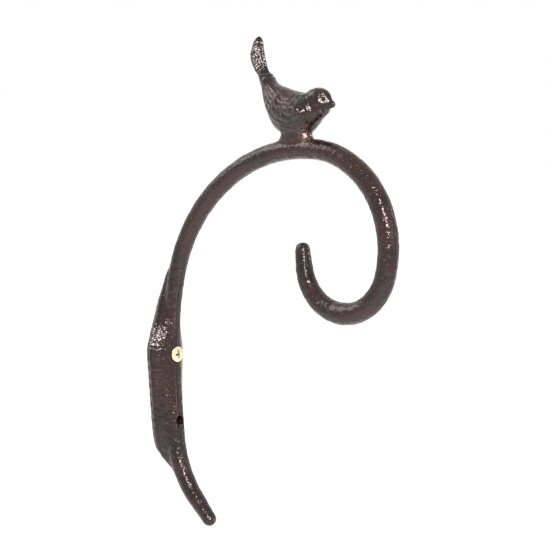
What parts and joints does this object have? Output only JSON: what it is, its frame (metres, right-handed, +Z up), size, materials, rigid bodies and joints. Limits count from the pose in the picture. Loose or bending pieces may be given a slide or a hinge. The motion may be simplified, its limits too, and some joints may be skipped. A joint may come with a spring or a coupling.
{
  "type": "plant hanging bracket",
  "caption": "Cast iron wall bracket for a hanging plant: leaf-shaped wall plate, round arm that curls into an open crook, and a small bird perched on its crown.",
  "frame": {"origin": "on the plate's flat back, on the casting's symmetry plane, midway between the two screw holes", "axes": "+X out from the wall along the arm's reach, +Z up the wall, +Y along the wall; y = 0 is the casting's parting plane"},
  "size_m": [0.1471, 0.024, 0.2293],
  "materials": {
    "black_lacquered_iron": "rough casting under a thin, slightly glossy brown-black lacquer",
    "brass": "polished"
  },
  "bodies": {
    "root": {"bracket_casting": "black_lacquered_iron", "wood_screw": "brass"}
  },
  "joints": []
}
